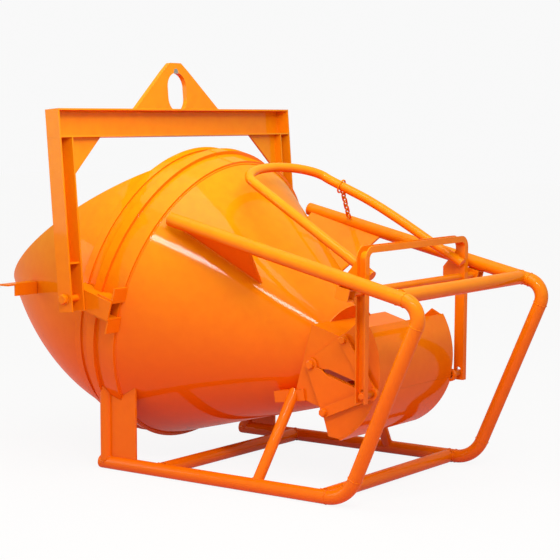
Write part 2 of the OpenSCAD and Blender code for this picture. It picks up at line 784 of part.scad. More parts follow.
module lever_stays() {
  color("orangered") at_bail() both_sides()
    translate([-bail_w / 2 - weld, bail_half + bail_d - bail_t, 0]) rotate([90, 0, 0])
    linear_extrude(stay_t) polygon([[0, stay_top], [-stay_out, stay_nose], [-stay_out, 0], [0, -stay_foot]]);
}

// The hand hoop: a bent tube whose ends lie against the lever's legs
hoop_r = hoop_d / 2;
hoop_end_up = 62;
hoop_mid_back = 409;
hoop_mid_up = 311;
hoop_mid_in = 47;
hoop_mid_half = bail_half - hoop_mid_in;
hoop_bow_back = 652;
hoop_bow_up = 430;
hoop_bow_rise = 56;
hoop_sides = 20;
bow_steps = 18;
hoop_end = [fulcrum[0] + bail_w / 2, bail_half - hoop_r - weld, fulcrum[1] + hoop_end_up];
hoop_mid = [fulcrum[0] - hoop_mid_back, hoop_mid_half, fulcrum[1] + hoop_mid_up];
hoop_turn = [fulcrum[0] - hoop_bow_back, hoop_half, fulcrum[1] + hoop_bow_up];
function other_side(p) = [p[0], -p[1], p[2]];
hoop_path = concat(
  [hoop_end, hoop_mid],
  [for (i = [0:bow_steps]) hoop_turn + [
    -hoop_bow * sin(180 * i / bow_steps),
    hoop_half * (cos(180 * i / bow_steps) - 1),
    hoop_bow_rise * sin(180 * i / bow_steps)
  ]],
  [other_side(hoop_mid), other_side(hoop_end)]
);
function unit(v) = v / norm(v);
function heading(path, i) = unit(path[min(i + 1, len(path) - 1)] - path[max(i - 1, 0)]);
function ring(path, i, r, sides) =
  let (t = heading(path, i), side = unit(cross(t, [0, 0, 1])), up = cross(side, t))
  [for (k = [0:sides - 1]) path[i] + r * (cos(360 * k / sides) * side + sin(360 * k / sides) * up)];
module swept(path, r, sides) {
  rings = len(path);
  polyhedron(
    points = [for (i = [0:rings - 1]) each ring(path, i, r, sides)],
    faces = concat(
      [[for (k = [0:sides - 1]) k]],
      [for (i = [0:rings - 2], k = [0:sides - 1]) each [
        [i * sides + k, (i + 1) * sides + k, (i + 1) * sides + (k + 1) % sides],
        [i * sides + k, (i + 1) * sides + (k + 1) % sides, i * sides + (k + 1) % sides]
      ]],
      [[for (k = [sides - 1:-1:0]) (rings - 1) * sides + k]]
    )
  );
}
module hoop() { color("orangered") placed() swept(hoop_path, hoop_r, hoop_sides); }

// Knee pins: they join the links of both jaws to the lever's legs
knee_head_t = 8;
knee_head_lip = 7;
module knee_pins() {
  color("orangered") placed() translate([knee[0], 0, knee[1]]) both_sides() {
    cross_rod(knee_pin_r, link_y - pass, bail_half + bail_t + pass);
    cross_rod(knee_pin_r + knee_head_lip, bail_half + bail_t + weld, bail_half + bail_t + knee_head_t);
    cross_rod(knee_pin_r + knee_head_lip, knee_link_y + link_t + weld, bail_half - weld);
  }
}

// Safety chain from the hoop to the left top rail
chain_share = 0.72;
chain_foot_x = 316;
chain_links_n = 6;
chain_slack = 0.6;
link_bore = 12;
ring_bore_r = hoop_r + wire_d / 2 + 2 * weld + chain_slack;
ring_r = ring_bore_r + wire_d / 2;
chain_head = hoop_mid + chain_share * (hoop_turn - hoop_mid);
chain_foot = [chain_foot_x, rail_half, rail_z(chain_foot_x)];
chain_dir = unit(chain_foot - chain_head);
hoop_dir = unit(hoop_turn - hoop_mid);
ring_sag = ring_bore_r - hoop_r - 2 * weld;
chain_step = chain_pitch - chain_slack;
chain_first = ring_sag + ring_bore_r + chain_pitch / 2 - chain_slack;
// The first link stands square to the ring's wire, and each next one square to the last
link_side = unit(cross(hoop_dir, chain_dir));
ring_dir = cross(chain_dir, link_side);
chain_az = atan2(chain_dir[1], chain_dir[0]);
chain_flat = [-sin(chain_az), cos(chain_az), 0];
chain_roll = atan2(-link_side * cross(chain_flat, chain_dir), link_side * chain_flat);
// Turns +Z to a direction
module facing(v) { rotate([0, acos(v[2]), atan2(v[1], v[0])]) children(); }
module at_chain(d) {
  placed() translate(chain_head + d * chain_dir) facing(chain_dir) rotate([0, 0, chain_roll]) children();
}
// A chain link that stands along Z, its ring in the X-Z plane
module chain_link(bore_l) {
  mean = (link_bore + wire_d) / 2;
  span = bore_l - link_bore;
  for (side = [1, -1]) translate([side * mean, 0, -span / 2])
    cylinder(r = wire_d / 2, h = span, $fn = 24);
  for (up = [1, -1]) mirror([0, 0, (1 - up) / 2]) translate([0, 0, span / 2]) rotate([90, 0, 0])
    rotate_extrude(angle = 180, $fn = 24) translate([mean, 0]) circle(r = wire_d / 2, $fn = 16);
}
module chain() {
  color("orangered") for (i = [0:chain_links_n - 1])
    at_chain(chain_first + i * chain_step) rotate([0, 0, 90 * i]) chain_link(chain_pitch);
}
module chain_ring() {
  color("orangered") placed() translate(chain_head + ring_sag * chain_dir) facing(ring_dir)
    rotate_extrude() translate([ring_r, 0]) circle(r = wire_d / 2, $fn = 24);
}
chain_end = chain_first + (chain_links_n - 1) * chain_step + chain_pitch / 2;
// The end link stops short of the rail, which it meets at a slant
hook_rest = 2.5;
hook_l = norm(chain_foot - chain_head) - chain_end + chain_slack - tube_r - wire_d - hook_rest;
module chain_hook() {
  color("orangered") at_chain(chain_end + hook_l / 2 - chain_slack)
    rotate([0, 0, 90 * chain_links_n]) chain_link(hook_l);
}

belt();
rear_shell();
mouth_rim();
front_cone();
outlet_box();
gate_pins();
skid_left();
skid_right();
foot_bend_left();
foot_bend_right();
leg_left();
leg_right();
top_elbow_left();
top_elbow_right();
top_rail_left();
top_rail_right();
rear_cross();
front_bar();
top_bar();
post_left();
post_right();
saddle_left();
saddle_right();
strut_left();
strut_right();
strut_pads();
gusset_left();
gusset_right();
arm_left();
arm_right();
arm_ties();
yoke_pins();
yoke_stops();
socket_left();
socket_right();
fulcrum_shaft();
yoke_leg_left();
yoke_leg_right();
yoke_beam();
yoke_braces();
yoke_stays();
lifting_lug();
lever_bail();
lever_stays();
hoop();
upper_jaw_shell();
upper_jaw_sides();
upper_link_pins();
lower_jaw_shell();
lower_jaw_sides();
lower_link_pins();
upper_links();
lower_links();
knee_pins();
chain();
chain_ring();
chain_hook();
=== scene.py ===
"""Lay-down concrete bucket: paint, rear shell, hoop, welds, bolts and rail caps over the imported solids.

+X is the discharge end, +Y the left side, +Z up, in metres, with the ground at Z = 0.
"""

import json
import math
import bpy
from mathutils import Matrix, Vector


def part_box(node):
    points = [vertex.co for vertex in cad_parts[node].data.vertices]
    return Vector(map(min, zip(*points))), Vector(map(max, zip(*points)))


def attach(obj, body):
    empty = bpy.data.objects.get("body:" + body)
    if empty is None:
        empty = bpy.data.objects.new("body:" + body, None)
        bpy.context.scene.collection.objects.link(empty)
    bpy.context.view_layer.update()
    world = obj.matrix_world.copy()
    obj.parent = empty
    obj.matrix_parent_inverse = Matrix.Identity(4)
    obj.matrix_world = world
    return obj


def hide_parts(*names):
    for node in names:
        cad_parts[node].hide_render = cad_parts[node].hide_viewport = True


bl_info = {
    "name": "Lay-down concrete bucket",
    "version": (1, 0, 0),
    "blender": (4, 5, 0),
    "location": "View3D > Sidebar > Bucket",
    "description": "Paints the bucket and adds its rear shell, hand hoop, welds, bolts and rail caps",
    "category": "Object",
}

import bpy
from bpy.props import FloatProperty, PointerProperty, StringProperty
from mathutils import Matrix, Vector

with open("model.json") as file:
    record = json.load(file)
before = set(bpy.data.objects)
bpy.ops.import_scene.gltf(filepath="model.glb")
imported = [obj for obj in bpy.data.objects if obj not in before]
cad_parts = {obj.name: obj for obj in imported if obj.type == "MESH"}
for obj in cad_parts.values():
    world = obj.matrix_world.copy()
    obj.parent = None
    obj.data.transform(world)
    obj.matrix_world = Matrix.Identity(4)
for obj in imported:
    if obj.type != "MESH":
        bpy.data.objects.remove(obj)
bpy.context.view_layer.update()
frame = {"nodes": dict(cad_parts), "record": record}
NODES = frame["nodes"]
HINGE = {joint["name"]: joint for joint in frame["record"]["behaviour"]["joints"]}
SIDES = {"left": 1, "right": -1}

# X = 0 lies this far ahead of the rear cross tube, from which the belt and the tubes are placed
MIDDLE = 0.0824

# The bucket's axis: s runs along it from the belt to the outlet, q square to it and up
TILT = math.radians(16)
BELT_CENTRE = Vector((-0.240 - MIDDLE, 0, 0.778))
ALONG = Vector((math.cos(TILT), 0, -math.sin(TILT)))
ACROSS = Vector((math.sin(TILT), 0, math.cos(TILT)))
BELT_R, BELT_BACK, BELT_FRONT = 0.668, 0.095, 0.150
CONE_L, CONE_END_R = 0.740, 0.243

# The tube frame
TUBE_R = 0.03015
RAIL_Y = 0.525
LEAN, SLOPE = math.radians(23.8), math.radians(13)
LEG_DIR = Vector((math.sin(LEAN), 0, math.cos(LEAN)))
TOP_DIR = Vector((math.cos(SLOPE), 0, -math.sin(SLOPE)))
LEG_FOOT = Vector((1.007 - MIDDLE, 0, TUBE_R))
TOP_START = Vector((-MIDDLE, 0, 1.167))
FOOT_BEND_R, ELBOW_BEND_R = 0.150, 0.076
FOOT_CUT = FOOT_BEND_R * math.tan((math.pi / 2 - LEAN) / 2)
ELBOW_CUT = ELBOW_BEND_R * math.tan((math.pi / 2 + LEAN - SLOPE) / 2)
# Where the cross tubes, posts and struts stand along X, and where the bottom rails end
CROSS_X = (0.0, 0.880)
TOP_BAR_X, POST_X, STRUT_X, RAIL_BACK_X = 1.240, -0.305, 0.540, -0.335
STRUT_R = 0.024
# The struts' heads on the bucket: along its axis, under it and out to the side
STRUT_HEAD_S, STRUT_HEAD_Q, STRUT_HEAD_Y = 0.888, -0.157, 0.3003


def on_bucket(s, radius, turn):
    """A point at s along the bucket's axis, turned in degrees from its top towards the left."""
    angle = math.radians(turn)
    out = math.cos(angle) * ACROSS + math.sin(angle) * Vector((0, 1, 0))
    return BELT_CENTRE + s * ALONG + radius * out


def cone_radius(s):
    return BELT_R - (s - BELT_FRONT) * (BELT_R - CONE_END_R) / CONE_L


def on_top_rail(x):
    """The point of the top rails' middle line over x, without its side."""
    return TOP_START + TOP_DIR * ((x - TOP_START.x) / TOP_DIR.x)


def rail_corner():
    """Where the middle lines of a front leg and a top rail meet."""
    reach = (TOP_START.z - LEG_FOOT.z - (LEG_FOOT.x - TOP_START.x) * math.tan(SLOPE)) / (
        LEG_DIR.z + LEG_DIR.x * math.tan(SLOPE)
    )
    return LEG_FOOT + reach * LEG_DIR


# Materials


def linear(code):
    """A hex colour in sRGB as linear red, green, blue and an alpha of 1."""
    values = [int(code[i : i + 2], 16) / 255 for i in (1, 3, 5)]
    return (*[v / 12.92 if v <= 0.04045 else ((v + 0.055) / 1.055) ** 2.4 for v in values], 1.0)


def add(tree, kind, settings=None, **links):
    """A node with its settings; each link names an input and gives a value or another node's socket."""
    made = tree.nodes.new("ShaderNode" + kind)
    for key, value in (settings or {}).items():
        setattr(made, key, value)
    for key, value in links.items():
        socket = made.inputs[int(key[1:])] if key[1:].isdigit() else made.inputs[key.replace("_", " ")]
        if isinstance(value, bpy.types.NodeSocket):
            tree.links.new(value, socket)
        else:
            socket.default_value = value
    return made


def noise(tree, place, width, detail, roughness=0.5):
    """Noise in patches of about a width in metres."""
    made = add(tree, "TexNoise", Vector=place, Scale=1 / width, Detail=detail, Roughness=roughness)
    return made.outputs["Fac"]


def remap(tree, value, low, high, to_low=0.0, to_high=1.0):
    """Takes values between low and high to another range."""
    made = add(
        tree, "MapRange", Value=value, From_Min=low, From_Max=high, To_Min=to_low, To_Max=to_high
    )
    return made.outputs["Result"]


def blend(tree, share, first, second):
    """Mixes two colours by the share of the second."""
    return add(tree, "Mix", {"data_type": "RGBA"}, _0=share, _6=first, _7=second).outputs[2]


def background_rays(tree):
    """1 for rays that should meet the white background: seen, mirrored or seen through glass."""
    seen = add(tree, "LightPath").outputs
    mirrored = add(
        tree, "Math", {"operation": "MAXIMUM"}, _0=seen["Is Glossy Ray"], _1=seen["Is Transmission Ray"]
    )
    return add(
        tree, "Math", {"operation": "MAXIMUM"}, _0=seen["Is Camera Ray"], _1=mirrored.outputs[0]
    ).outputs[0]


def blank_material(name):
    material = bpy.data.materials.new(name)
    material.use_nodes = True
    material.node_tree.nodes.clear()
    return material, material.node_tree


def enamel(name, paint, wave, wave_depth, peel_depth, rub):
    """Orange alkyd enamel sprayed on mild steel: a glossy skin with orange peel over plate that isn't
    quite flat, a little uneven in colour where the coats overlap, lighter and yellower high up as painted
    light, redder on faces that look down as painted shade, and rubbed thin on its edges."""
    material, tree = blank_material(name)
    spot = add(tree, "TexCoord").outputs
    place = spot["Object"]
    # Patches where one pass of the spray gun overlaps the next
    coats = noise(tree, place, width=0.35, detail=2.0, roughness=0.45)
    # Finer mottling in the film
    mottle = noise(tree, place, width=0.045, detail=3.0, roughness=0.55)
    # Real orange peel is 2 to 4 mm wide: it is drawn at 9 mm so that it shows in the render
    peel = noise(tree, place, width=0.009, detail=1.0)
    # Slow waves in rolled and welded plate
    waves = noise(tree, place, width=wave, detail=1.0, roughness=0.4)
    thick = blend(tree, coats, linear(paint.thin_coat), linear(paint.full_coat))
    # Painted light: the enamel turns lighter and yellower with height, from about 0.45 to 1.35 m over the
    # ground
    height = add(tree, "SeparateXYZ", Vector=place).outputs["Z"]
    painted_light_high_up = blend(tree, remap(tree, height, 0.45, 1.35), thick, linear(paint.painted_light_top_coat))
    # Painted shade: faces that look down turn redder
    level = add(tree, "SeparateXYZ", Vector=spot["Normal"]).outputs["Z"]
    painted_light_and_shade = blend(tree, remap(tree, level, -0.85, 0.3), linear(paint.painted_shade_under_coat), painted_light_high_up)
    tint = remap(tree, mottle, 0.35, 0.75, to_high=0.16)
    film = blend(tree, tint, painted_light_and_shade, linear(paint.deep_coat))
    # Edges: a rounded normal that leaves the flat face's normal marks where the film is rubbed
    round_edge = add(tree, "Bevel", {"samples": 4}, Radius=paint.edge_round).outputs[0]
    flat = add(tree, "NewGeometry").outputs["Normal"]
    facing = add(tree, "VectorMath", {"operation": "DOT_PRODUCT"}, _0=round_edge, _1=flat)
    near_edge = remap(tree, facing.outputs["Value"], 0.999, 0.82, to_high=rub)
    patchy = remap(tree, mottle, 0.45, 0.62)
    worn = add(tree, "Math", {"operation": "MULTIPLY"}, _0=near_edge, _1=patchy).outputs[0]
    colour = blend(tree, worn, film, linear(paint.rubbed_edge))
    rough = remap(tree, mottle, 0.3, 0.75, to_low=0.22, to_high=0.36)
    wavy = add(tree, "Bump", Strength=1.0, Distance=wave_depth, Height=waves, Normal=round_edge)
    skin = add(tree, "Bump", Strength=1.0, Distance=peel_depth, Height=peel, Normal=wavy.outputs[0])
    surface = add(
        tree,
        "BsdfPrincipled",
        Base_Color=colour,
        Roughness=rough,
        IOR=1.5,
        Specular_IOR_Level=0.0,
        Coat_Weight=0.25,
        Coat_Roughness=0.06,
        Normal=skin.outputs[0],
    )
    add(tree, "OutputMaterial", Surface=surface.outputs[0])
    return material


def scuffed_enamel(name, paint, crown, reach):
    """The same enamel, scraped to bright steel where the load hangs in the lifting slot."""
    material = enamel(name, paint, wave=0.400, wave_depth=0.0006, peel_depth=0.00012, rub=0.8)
    tree = material.node_tree
    surface = next(n for n in tree.nodes if n.bl_idname == "ShaderNodeBsdfPrincipled")
    painted = surface.inputs["Base Color"].links[0].from_socket
    place = next(n for n in tree.nodes if n.bl_idname == "ShaderNodeTexCoord").outputs["Object"]
    away = add(tree, "VectorMath", {"operation": "DISTANCE"}, _0=place, _1=crown).outputs["Value"]
    # Scrape marks make the bare patch's edge ragged
    scrape = noise(tree, place, width=0.012, detail=4.0, roughness=0.65)
    ragged = add(tree, "Math", {"operation": "MULTIPLY_ADD"}, _0=scrape, _1=-reach, _2=away)
    bare = remap(tree, ragged.outputs[0], reach * 0.55, reach * 0.35)
    colour = blend(tree, bare, painted, linear(paint.bare_steel))
    tree.links.new(colour, surface.inputs["Base Color"])
    tree.links.new(bare, surface.inputs["Metallic"])
    return material


# Modelling helpers

ROUND_SIDES = 40
WASHER_T, WASHER_CHAMFER = 0.003, 0.0007
# A butt weld's bead is this share of a fillet's, and beads are shaded smooth up to this angle in degrees
BUTT_SHARE, WELD_SMOOTH = 0.7, 60


def clear_selection():
    if bpy.context.object and bpy.context.object.mode != "OBJECT":
        bpy.ops.object.mode_set(mode="OBJECT")
    bpy.ops.object.select_all(action="DESELECT")


def pick(obj):
    clear_selection()
    obj.select_set(True)
    bpy.context.view_layer.objects.active = obj


def turned_to(axis):
    """The turn that takes +Z to an axis."""
    return Vector((0, 0, 1)).rotation_difference(axis).to_matrix().to_4x4()


def set_down(obj, matrix):
    """Moves the object by a matrix and leaves its place in its mesh."""
    pick(obj)
    obj.matrix_world = matrix @ obj.matrix_world
    bpy.ops.object.transform_apply(location=True, rotation=True, scale=True)


def joined(parts, name):
    clear_selection()
    for part in parts:
        part.select_set(True)
    bpy.context.view_layer.objects.active = parts[0]
    if len(parts) > 1:
        bpy.ops.object.join()
    whole = bpy.context.object
    whole.name = whole.data.name = name
    return whole


def finish_piece(obj, material, body, smooth=40):
    """Shades, paints and hands a piece to its body."""
    pick(obj)
    bpy.ops.object.shade_smooth_by_angle(angle=math.radians(smooth))
    obj.data.materials.clear()
    obj.data.materials.append(material)
    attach(obj, body)
    return obj


def pinch(obj, around, depth):
    """Draws in every second ring of a bead, so that it shows the steps of the weld pool."""
    pick(obj)
    for vertex in obj.data.vertices:
        vertex.select = (vertex.index // around) % 2 == 0
    bpy.ops.object.mode_set(mode="EDIT")
    bpy.ops.mesh.select_mode(type="VERT")
    bpy.ops.transform.shrink_fatten(value=-depth)
    bpy.ops.object.mode_set(mode="OBJECT")


def ring_bead(centre, axis, radius, leg, step, lie_on=None):
    """A weld bead round a tube. With lie_on, a rail's point, direction and radius, it follows the saddle
    where the tube meets that rail."""
    clear_selection()
    rings = max(12, int(2 * math.pi * radius / step)) * 2
    around = 8
    bpy.ops.mesh.primitive_torus_add(
        major_segments=rings, minor_segments=around, major_radius=radius, minor_radius=leg
    )
    bead = bpy.context.object
    pinch(bead, around, leg * 0.22)
    turn = turned_to(axis)
    set_down(bead, Matrix.Translation(centre) @ turn)
    if lie_on:
        point, along, rail_r = lie_on
        flat = axis - axis.dot(along) * along
        for ring in range(rings):
            angle = 2 * math.pi * ring / rings
            foot = centre + turn.to_3x3() @ Vector((radius * math.cos(angle), radius * math.sin(angle), 0))
            away = foot - point
            away -= away.dot(along) * along
            half = away.dot(flat) / flat.length_squared
            rest = (away.length_squared - rail_r**2) / flat.length_squared
            slide = -half + math.sqrt(max(half * half - rest, 0))
            for vertex in bead.data.vertices[ring * around : (ring + 1) * around]:
                vertex.co += slide * axis
    return bead


def line_bead(start, end, leg, step):
    """A straight weld bead between two points."""
    clear_selection()
    run = end - start
    steps = max(4, int(run.length / step)) * 2
    around = 8
    bpy.ops.mesh.primitive_circle_add(vertices=around, radius=leg, fill_type="NGON")
    bead = bpy.context.object
    bpy.ops.object.mode_set(mode="EDIT")
    bpy.ops.mesh.select_all(action="SELECT")
    for i in range(steps):
        bpy.ops.mesh.extrude_region_move(TRANSFORM_OT_translate={"value": (0, 0, run.length / steps)})
        bulge = 1.25 if i % 2 else 0.8
        bpy.ops.transform.resize(value=(bulge, bulge, 1))
    bpy.ops.mesh.select_all(action="SELECT")
    bpy.ops.mesh.normals_make_consistent(inside=False)
    bpy.ops.object.mode_set(mode="OBJECT")
    set_down(bead, Matrix.Translation(start) @ turned_to(run.normalized()))
    return bead


def faces_along(obj, normal, least=0.9):
    """Selects the faces of an object that face a direction, and no others."""
    for item in (*obj.data.vertices, *obj.data.edges):
        item.select = False
    for face in obj.data.polygons:
        face.select = face.normal.dot(normal) > least


def rod(radius, length, middle_z):
    """A round rod along Z."""
    clear_selection()
    bpy.ops.mesh.primitive_cylinder_add(
        vertices=ROUND_SIDES, radius=radius, depth=length, location=(0, 0, middle_z)
    )
    return bpy.context.object


def hex_bolt(centre, axis, flats, height, shank_r, shank_l):
    """A hex head with a chamfered crown on a washer, and its shank, from the face that it seats on."""
    clear_selection()
    bpy.ops.mesh.primitive_cylinder_add(
        vertices=6, radius=flats / math.sqrt(3), depth=height, location=(0, 0, height / 2 + WASHER_T)
    )
    head = bpy.context.object
    faces_along(head, Vector((0, 0, 1)))
    bpy.ops.object.mode_set(mode="EDIT")
    bpy.ops.mesh.select_mode(type="FACE")
    bpy.ops.mesh.inset(thickness=flats * 0.09, depth=height * 0.12)
    bpy.ops.mesh.inset(thickness=flats * 0.16, depth=-height * 0.03)
    bpy.ops.mesh.select_all(action="SELECT")
    bpy.ops.mesh.bevel(offset=flats * 0.025, segments=2, affect="EDGES")
    bpy.ops.object.mode_set(mode="OBJECT")
    washer = rod(flats * 0.62, WASHER_T, WASHER_T / 2)
    bpy.ops.object.mode_set(mode="EDIT")
    bpy.ops.mesh.select_all(action="SELECT")
    bpy.ops.mesh.bevel(offset=WASHER_CHAMFER, segments=2, affect="EDGES")
    bpy.ops.object.mode_set(mode="OBJECT")
    shank = rod(shank_r, shank_l, -shank_l / 2)
    faces_along(shank, Vector((0, 0, -1)))
    bpy.ops.object.mode_set(mode="EDIT")
    bpy.ops.mesh.select_mode(type="FACE")
    bpy.ops.mesh.inset(thickness=shank_r * 0.12, depth=shank_r * 0.12)
    bpy.ops.object.mode_set(mode="OBJECT")
    bolt = joined([head, washer, shank], "bolt")
    set_down(bolt, Matrix.Translation(centre) @ turned_to(axis))
    return bolt


def spacer(foot, axis, radius, length):
    """A length of round tube over a bolt, with its ends chamfered."""
    tube = rod(radius, length, length / 2)
    bpy.ops.object.mode_set(mode="EDIT")
    bpy.ops.mesh.select_all(action="SELECT")
    bpy.ops.mesh.bevel(offset=radius * 0.1, segments=2, affect="EDGES")
    bpy.ops.object.mode_set(mode="OBJECT")
    set_down(tube, Matrix.Translation(foot) @ turned_to(axis))
    return tube


# Sizes and colours that a user would change


class BucketPaint(bpy.types.PropertyGroup):
    """Colours of the enamel and the steel under it"""

    full_coat: StringProperty(name="Full coat", description="Base enamel, film full", default="#EA7006")
    thin_coat: StringProperty(name="Thin coat", description="Base enamel, film thin", default="#E86805")
    # Painted light and shade: the next colour lightens the enamel high up, the one after it reddens faces
    # that look down
    painted_light_top_coat: StringProperty(name="Top coat, painted light", description="Enamel high up, lighter as painted light", default="#EC960A")
    painted_shade_under_coat: StringProperty(name="Under coat, painted shade", description="Enamel on faces that look down, redder as painted shade", default="#F04E05")
    deep_coat: StringProperty(name="Deep coat", description="Mottling in the film", default="#DC4C06")
    rubbed_edge: StringProperty(name="Rubbed edge", description="Film on rubbed edges", default="#F09A38")
    bare_steel: StringProperty(name="Bare steel", description="Where the film is gone", default="#9A948C")
    edge_round: FloatProperty(
        name="Edge rounding", description="Radius of the film on sharp edges", default=0.0025, unit="LENGTH"
    )


class BucketWelds(bpy.types.PropertyGroup):
    """Sizes of the weld beads"""

    leg: FloatProperty(name="Bead", description="Half thickness of a bead", default=0.0045, unit="LENGTH")
    step: FloatProperty(
        name="Step", description="Length of one step of the weld pool", default=0.009, unit="LENGTH"
    )


class BucketBolts(bpy.types.PropertyGroup):
    """Sizes of the bolts, across flats"""

    yoke_flats: FloatProperty(name="Yoke bolts", description="Across flats", default=0.040, unit="LENGTH")
    gate_flats: FloatProperty(name="Gate bolts", description="Across flats", default=0.033, unit="LENGTH")
    link_flats: FloatProperty(name="Link bolts", description="Across flats", default=0.030, unit="LENGTH")
    knee_flats: FloatProperty(name="Knee bolts", description="Across flats", default=0.027, unit="LENGTH")


class BucketStage(bpy.types.PropertyGroup):
    """Camera, floor and light"""

    lens: FloatProperty(name="Lens", description="Focal length", default=107.16, unit="CAMERA")
    azimuth: FloatProperty(name="Azimuth", description="Turn of the view about Z, degrees", default=36.15)
    elevation: FloatProperty(name="Elevation", description="Tilt of the view, degrees", default=5.56)
    world: FloatProperty(name="World", description="Strength of the even light", default=0.63)
    world_tint: StringProperty(name="World tint", description="Colour of the even light", default="#FFFFFF")
    overhead: FloatProperty(name="Overhead", description="Power of the overhead softbox, watts", default=36)
    front: FloatProperty(name="Front", description="Power of the high front softbox, watts", default=33)
    side: FloatProperty(name="Side", description="Power of the softbox at the left, watts", default=36)
    key: FloatProperty(name="Key", description="Power of the strip light at the right, watts", default=58)
    floor: StringProperty(name="Floor", description="Colour of the floor", default="#D8D4CE")


# Operators


class BUCKET_OT_paint(bpy.types.Operator):
    """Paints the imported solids"""

    bl_idname = "bucket.paint"
    bl_label = "Paint the solids"

    def execute(self, context):
        paint = context.scene.bucket_paint
        # Width and depth of the plate's waves, depth of the orange peel, and rubbing of the edges
        shells = enamel("sprayed_enamel_on_rolled_plate", paint, 0.260, 0.0035, 0.00016, 0.45)
        plates = enamel("sprayed_enamel_on_flat_plate", paint, 0.400, 0.0008, 0.00014, 0.7)
        tubes = enamel("sprayed_enamel_on_tube", paint, 0.300, 0.0006, 0.00012, 0.5)
        enamel("sprayed_enamel_on_weld", paint, 0.060, 0.0004, 0.0002, 0.3)
        # How far the slot's top lies under the lug's top, and how far from it the paint is scraped
        crown_drop, scuff_reach = 0.046, 0.02
        low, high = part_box("lifting_lug")
        crown = Vector(((low[0] + high[0]) / 2, 0, high[2] - crown_drop))
        lug = scuffed_enamel("lift_scuffed_enamel", paint, crown, scuff_reach)
        rolled = ("belt", "shell", "cone", "rim")
        round_stock = ("skid", "bend", "leg_", "elbow", "rail", "cross", "bar", "post")
        round_stock += ("strut_l", "strut_r", "shaft", "chain")
        for name, solid in NODES.items():
            material = plates
            if name == "lifting_lug":
                material = lug
            elif any(word in name for word in rolled):
                material = shells
            elif any(word in name for word in round_stock) and "yoke" not in name:
                material = tubes
            solid.data.materials.clear()
            solid.data.materials.append(material)
        return {"FINISHED"}


class BUCKET_OT_rear_shell(bpy.types.Operator):
    """Draws the rear shell as one smooth curve, cut off on a slant for the fill mouth"""

    bl_idname = "bucket.rear_shell"
    bl_label = "Spin the rear shell"

    def execute(self, context):
        around, steps = 160, 48
        length, end_r, inset, wall = 0.926, 0.223, 0.0010, 0.0045
        # The power of the curve from the belt to the rear end, and the gap to the belt
        fullness, gap = 1.82, 0.0003
        # The mouth's plane starts behind the belt's middle, at its top, and leans back
        lip_back, slant = 0.014, math.radians(47.5)

        def radius(i):
            return end_r + (BELT_R - end_r) * (1 - (i / steps) ** fullness) - inset

        clear_selection()
        bpy.ops.mesh.primitive_circle_add(vertices=around, radius=radius(0))
        shell = bpy.context.object
        shell.name = shell.data.name = "spun_rear_shell"
        bpy.ops.object.mode_set(mode="EDIT")
        bpy.ops.mesh.select_all(action="SELECT")
        for i in range(1, steps + 1):
            bpy.ops.mesh.extrude_region_move(TRANSFORM_OT_translate={"value": (0, 0, length / steps)})
            ratio = radius(i) / radius(i - 1)
            bpy.ops.transform.resize(value=(ratio, ratio, 1))
        bpy.ops.mesh.select_all(action="SELECT")
        bpy.ops.mesh.normals_make_consistent(inside=False)
        bpy.ops.object.mode_set(mode="OBJECT")
        set_down(shell, Matrix.Translation(BELT_CENTRE - (BELT_BACK + gap) * ALONG) @ turned_to(-ALONG))
        lip = BELT_CENTRE - lip_back * ALONG + BELT_R * ACROSS
        out = math.cos(slant) * ACROSS - math.sin(slant) * ALONG
        pick(shell)
        bpy.ops.object.mode_set(mode="EDIT")
        bpy.ops.mesh.select_all(action="SELECT")
        bpy.ops.mesh.bisect(plane_co=lip, plane_no=out, clear_outer=True)
        bpy.ops.mesh.select_all(action="SELECT")
        bpy.ops.mesh.normals_make_consistent(inside=False)
        bpy.ops.object.mode_set(mode="OBJECT")
        plate = shell.modifiers.new("plate", "SOLIDIFY")
        plate.thickness, plate.offset = wall, -1
        bpy.ops.object.modifier_apply(modifier=plate.name)
        finish_piece(shell, bpy.data.materials["sprayed_enamel_on_rolled_plate"], "bucket")
        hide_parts("rear_shell")
        return {"FINISHED"}


class BUCKET_OT_hoop(bpy.types.Operator):
    """Bends the hand hoop from one length of tube"""

    bl_idname = "bucket.hoop"
    bl_label = "Bend the hand hoop"

    def execute(self, context):
        tube_r, bow_y = 0.021, 0.285
        # How far the bow reaches back and up from the ends of the two arms
        bow_back, bow_up = 0.094, 0.056
        pull = Vector(HINGE["lever_pull"]["pos_m"])
        end = pull + Vector((0.024, 0.3687, 0.062))
        middle = pull + Vector((-0.409, 0.343, 0.311))
        bow = pull + Vector((-0.652, bow_y, 0.430))
        half = [end, end.lerp(middle, 0.35), end.lerp(middle, 0.8)]
        half += [middle.lerp(bow, 0.22), middle.lerp(bow, 0.62)]
        for i in range(10):
            angle = math.pi * i / 18
            bend = (-bow_back * math.sin(angle), bow_y * (math.cos(angle) - 1), bow_up * math.sin(angle))
            half.append(bow + Vector(bend))
        route = half + [Vector((p.x, -p.y, p.z)) for p in reversed(half[:-1])]
        clear_selection()
        bpy.ops.curve.primitive_bezier_curve_add()
        hoop = bpy.context.object
        curve = hoop.data
        spline = curve.splines[0]
        spline.bezier_points.add(len(route) - len(spline.bezier_points))
        for point, place in zip(spline.bezier_points, route):
            point.co = place
            point.handle_left_type = point.handle_right_type = "AUTO"
        curve.resolution_u = 8
        curve.bevel_depth = tube_r
        curve.bevel_resolution = 8
        curve.use_fill_caps = True
        bpy.ops.object.convert(target="MESH")
        hoop = bpy.context.object
        hoop.name = hoop.data.name = "bent_hoop"
        bpy.ops.object.mode_set(mode="EDIT")
        bpy.ops.mesh.select_all(action="SELECT")
        bpy.ops.mesh.remove_doubles(threshold=0.00005)
        bpy.ops.mesh.normals_make_consistent(inside=False)
        bpy.ops.object.mode_set(mode="OBJECT")
        set_down(hoop, Matrix())
        finish_piece(hoop, bpy.data.materials["sprayed_enamel_on_tube"], "lever")
        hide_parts("hoop")
        return {"FINISHED"}


